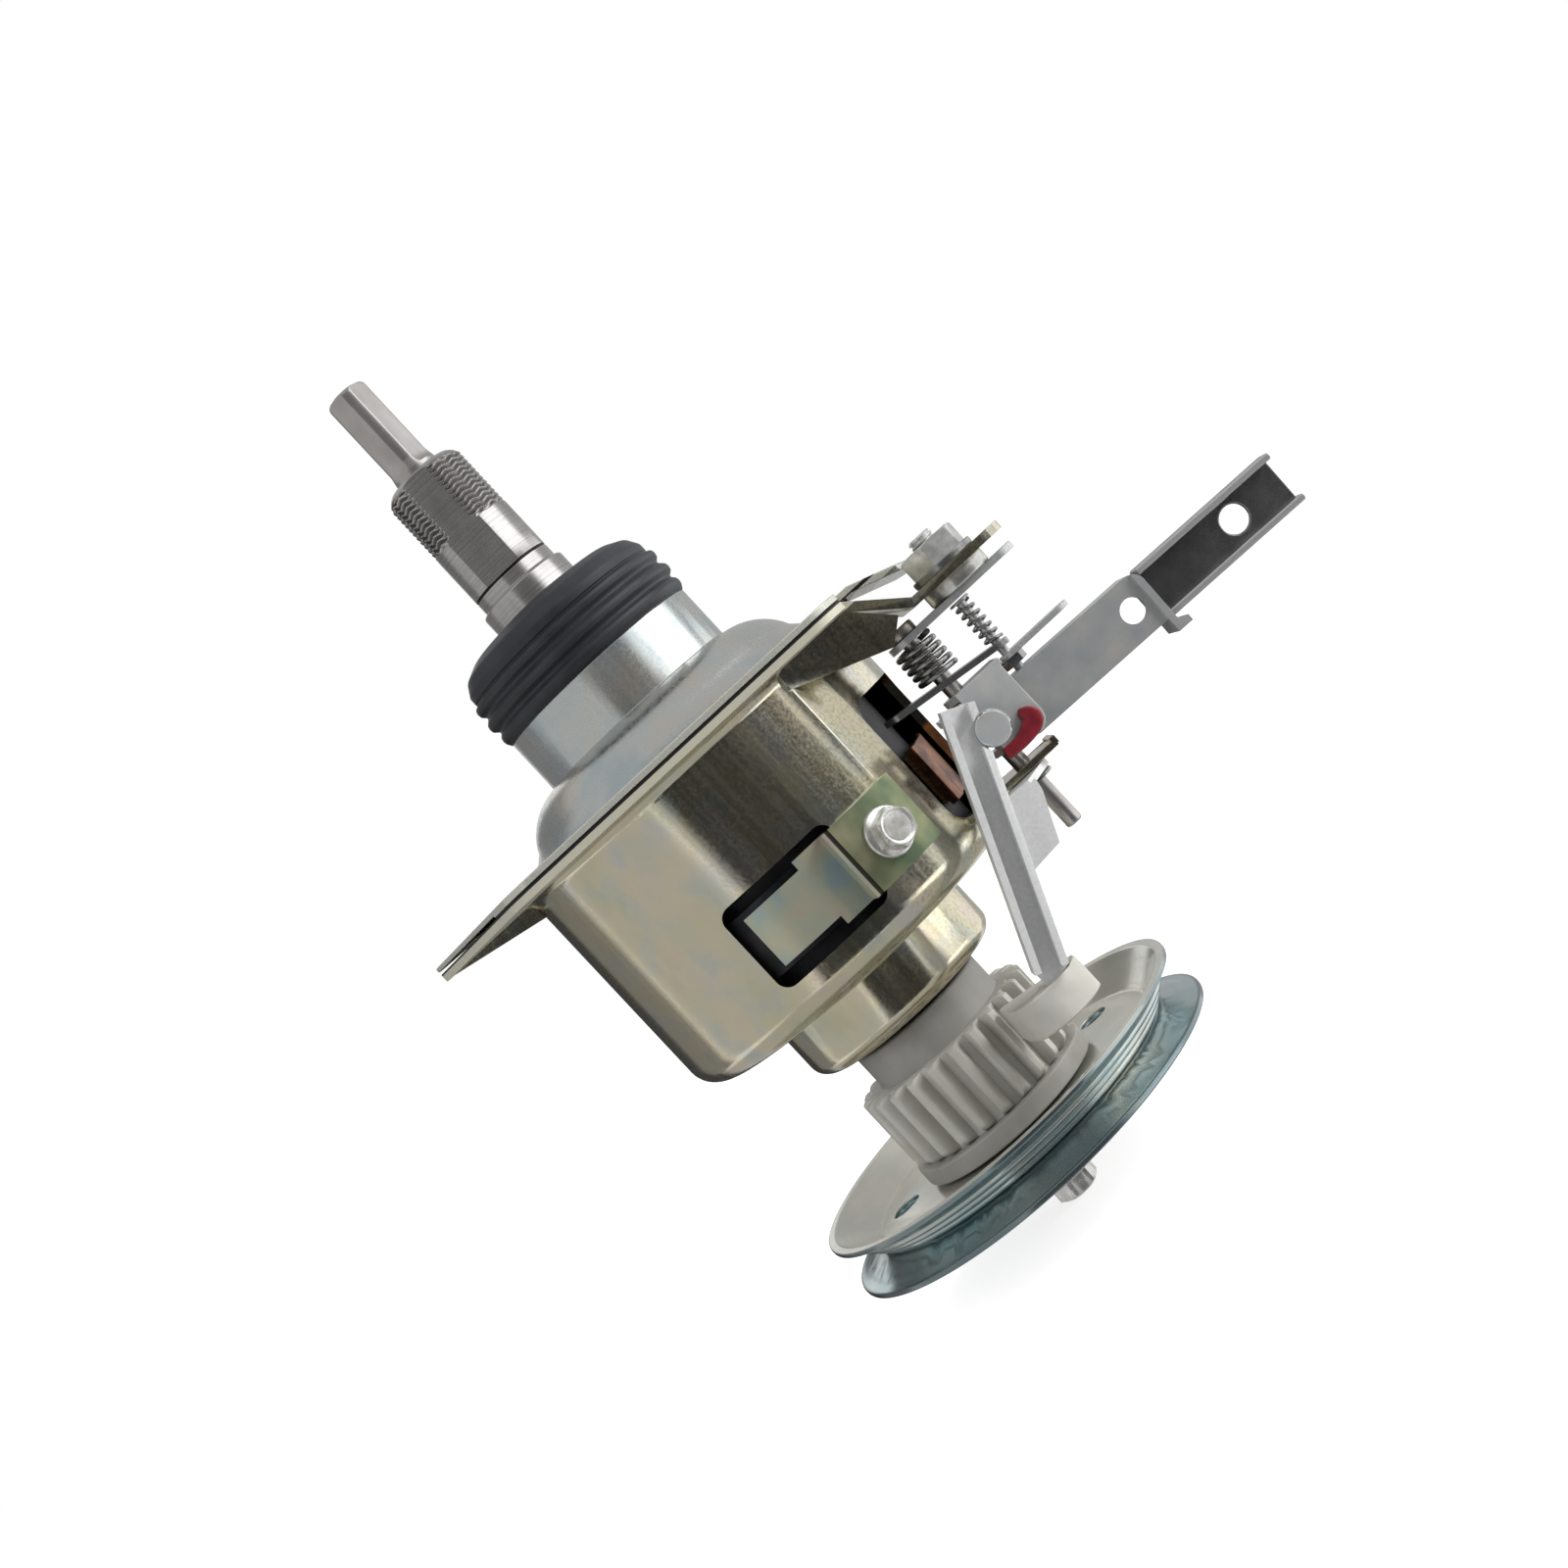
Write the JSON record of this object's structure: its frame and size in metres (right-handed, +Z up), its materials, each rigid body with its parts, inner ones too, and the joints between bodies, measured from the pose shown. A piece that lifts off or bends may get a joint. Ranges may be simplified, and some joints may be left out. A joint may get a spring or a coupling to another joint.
{
  "type": "washing machine clutch",
  "caption": "Top-load washer reduction clutch: coaxial spin tube and pulsator shaft, sealed bearing housing, planetary drum with brake band, lever and pawl, ratchet and belt pulley.",
  "frame": {"origin": "on the main shaft's axis, where the two flange sheets meet", "axes": "+Z up the main shaft to the pulsator end, +X towards the lever's handle, the window side faces -Y"},
  "size_m": [0.2101, 0.106, 0.2466],
  "materials": {
    "blue_zinc": "satin blue-white zinc plate",
    "yellow_zinc": "semi-gloss yellow-passivated zinc plate with iridescent patches",
    "seal_rubber": "smooth blue-black rubber",
    "machined_steel": "turned and ground bare steel",
    "bearing_steel": "ground bearing steel",
    "drum_steel": "oiled steel",
    "gear_steel": "hardened steel, oiled",
    "sinter_bronze": "sintered bronze",
    "nitrile_seal": "black rubber",
    "spring_steel": "dark oiled spring wire",
    "lining": "copper-brown woven friction lining",
    "galvanised": "bright galvanised sheet",
    "dark_chrome": "glossy dark zinc plate",
    "red_plastic": "deep red moulded plastic",
    "white_nylon": "off-white nylon",
    "pulley_zinc": "glossy teal-tinted zinc on pressed sheet",
    "bright_bolt": "bright plated"
  },
  "bodies": {
    "housing": {"upper_housing": "blue_zinc", "lower_housing": "yellow_zinc", "water_seal": "seal_rubber", "seal_lip_spring": "spring_steel", "upper_bearing_outer_ring": "bearing_steel", "lower_bearing_outer_ring": "bearing_steel", "brake_band": "yellow_zinc", "brake_lining": "lining", "band_anchor": "yellow_zinc", "anchor_bolt": "yellow_zinc", "tab_stud": "galvanised", "tab_washer": "dark_chrome", "tab_nut": "galvanised", "pivot_pin": "machined_steel", "pivot_clip": "spring_steel", "guide_plate": "galvanised", "lower_lug": "yellow_zinc", "pivot_spring": "spring_steel"},
    "spin_drum": {"spin_tube": "machined_steel", "upper_shaft_bush": "sinter_bronze", "lower_shaft_bush": "sinter_bronze", "shaft_seal": "nitrile_seal", "drum_lid": "drum_steel", "brake_drum": "drum_steel", "ring_gear": "gear_steel", "input_bush": "sinter_bronze", "upper_bearing_inner_ring": "bearing_steel", "lower_bearing_inner_ring": "bearing_steel", "clutch_spring": "spring_steel"},
    "upper_balls": {"upper_bearing_balls": "bearing_steel"},
    "lower_balls": {"lower_bearing_balls": "bearing_steel"},
    "ratchet": {"ratchet_wheel": "white_nylon"},
    "input": {"input_shaft": "gear_steel", "clutch_sleeve": "machined_steel", "pulley_upper_half": "pulley_zinc", "pulley_lower_half": "pulley_zinc", "pulley_hub": "machined_steel", "pulley_washer": "bright_bolt", "pulley_bolt": "bright_bolt"},
    "carrier": {"pulsator_shaft": "machined_steel", "carrier_top_plate": "gear_steel", "carrier_bottom_plate": "gear_steel", "planet_pins": "gear_steel"},
    "planet_1": {"planet_gear_1": "gear_steel"},
    "planet_2": {"planet_gear_2": "gear_steel"},
    "planet_3": {"planet_gear_3": "gear_steel"},
    "planet_4": {"planet_gear_4": "gear_steel"},
    "lever": {"lever_bracket": "galvanised", "lever_channel": "galvanised", "lever_extension": "dark_chrome", "brake_plate": "dark_chrome", "spring_post": "galvanised", "post_plate": "dark_chrome", "post_nut": "dark_chrome", "post_spring": "spring_steel", "lever_boss": "galvanised", "red_stop": "red_plastic"},
    "pawl": {"pawl_arm": "galvanised", "pawl_tip": "white_nylon"}
  },
  "joints": [
    {"name": "spin", "type": "hinge", "parent": "housing", "child": "spin_drum", "pos_m": [0, 0, 0], "axis": [0, 0, 1], "continuous": true},
    {"name": "upper_cage", "type": "hinge", "parent": "housing", "child": "upper_balls", "pos_m": [0, 0, 0.022], "axis": [0, 0, 1], "continuous": true},
    {"name": "lower_cage", "type": "hinge", "parent": "housing", "child": "lower_balls", "pos_m": [0, 0, -0.0688], "axis": [0, 0, 1], "continuous": true},
    {"name": "input_turn", "type": "hinge", "parent": "spin_drum", "child": "input", "pos_m": [0, 0, 0], "axis": [0, 0, 1], "continuous": true},
    {"name": "carrier_turn", "type": "hinge", "parent": "spin_drum", "child": "carrier", "pos_m": [0, 0, 0], "axis": [0, 0, 1], "continuous": true},
    {"name": "planet_1_turn", "type": "hinge", "parent": "carrier", "child": "planet_1", "pos_m": [0.021, 0, -0.0345], "axis": [0, 0, 1], "continuous": true},
    {"name": "planet_2_turn", "type": "hinge", "parent": "carrier", "child": "planet_2", "pos_m": [0, 0.021, -0.0345], "axis": [0, 0, 1], "continuous": true},
    {"name": "planet_3_turn", "type": "hinge", "parent": "carrier", "child": "planet_3", "pos_m": [-0.021, 0, -0.0345], "axis": [0, 0, 1], "continuous": true},
    {"name": "planet_4_turn", "type": "hinge", "parent": "carrier", "child": "planet_4", "pos_m": [0, -0.021, -0.0345], "axis": [0, 0, 1], "continuous": true},
    {"name": "ratchet_twist", "type": "hinge", "parent": "spin_drum", "child": "ratchet", "pos_m": [0, 0, -0.09], "axis": [0, 0, 1], "range_deg": [0, 2.5], "stiffness_Nm_per_rad": 0.02},
    {"name": "lever_pull", "type": "hinge", "parent": "housing", "child": "lever", "pos_m": [0.0536, -0.025, -0.04], "axis": [0, 0, 1], "range_deg": [-5, 8], "stiffness_Nm_per_rad": 0.3},
    {"name": "pawl_swing", "type": "hinge", "parent": "housing", "child": "pawl", "pos_m": [0.0536, -0.025, -0.04], "axis": [0, 0, 1], "range_deg": [-5, 8]}
  ],
  "couplings": [
    {"joint": "upper_cage", "follows": "spin", "ratio": 0.4},
    {"joint": "lower_cage", "follows": "spin", "ratio": 0.4},
    {"joint": "carrier_turn", "follows": "input_turn", "ratio": 0.19048},
    {"joint": "planet_1_turn", "follows": "input_turn", "ratio": -0.49817},
    {"joint": "planet_2_turn", "follows": "input_turn", "ratio": -0.49817},
    {"joint": "planet_3_turn", "follows": "input_turn", "ratio": -0.49817},
    {"joint": "planet_4_turn", "follows": "input_turn", "ratio": -0.49817},
    {"joint": "pawl_swing", "follows": "lever_pull", "ratio": 1}
  ]
}
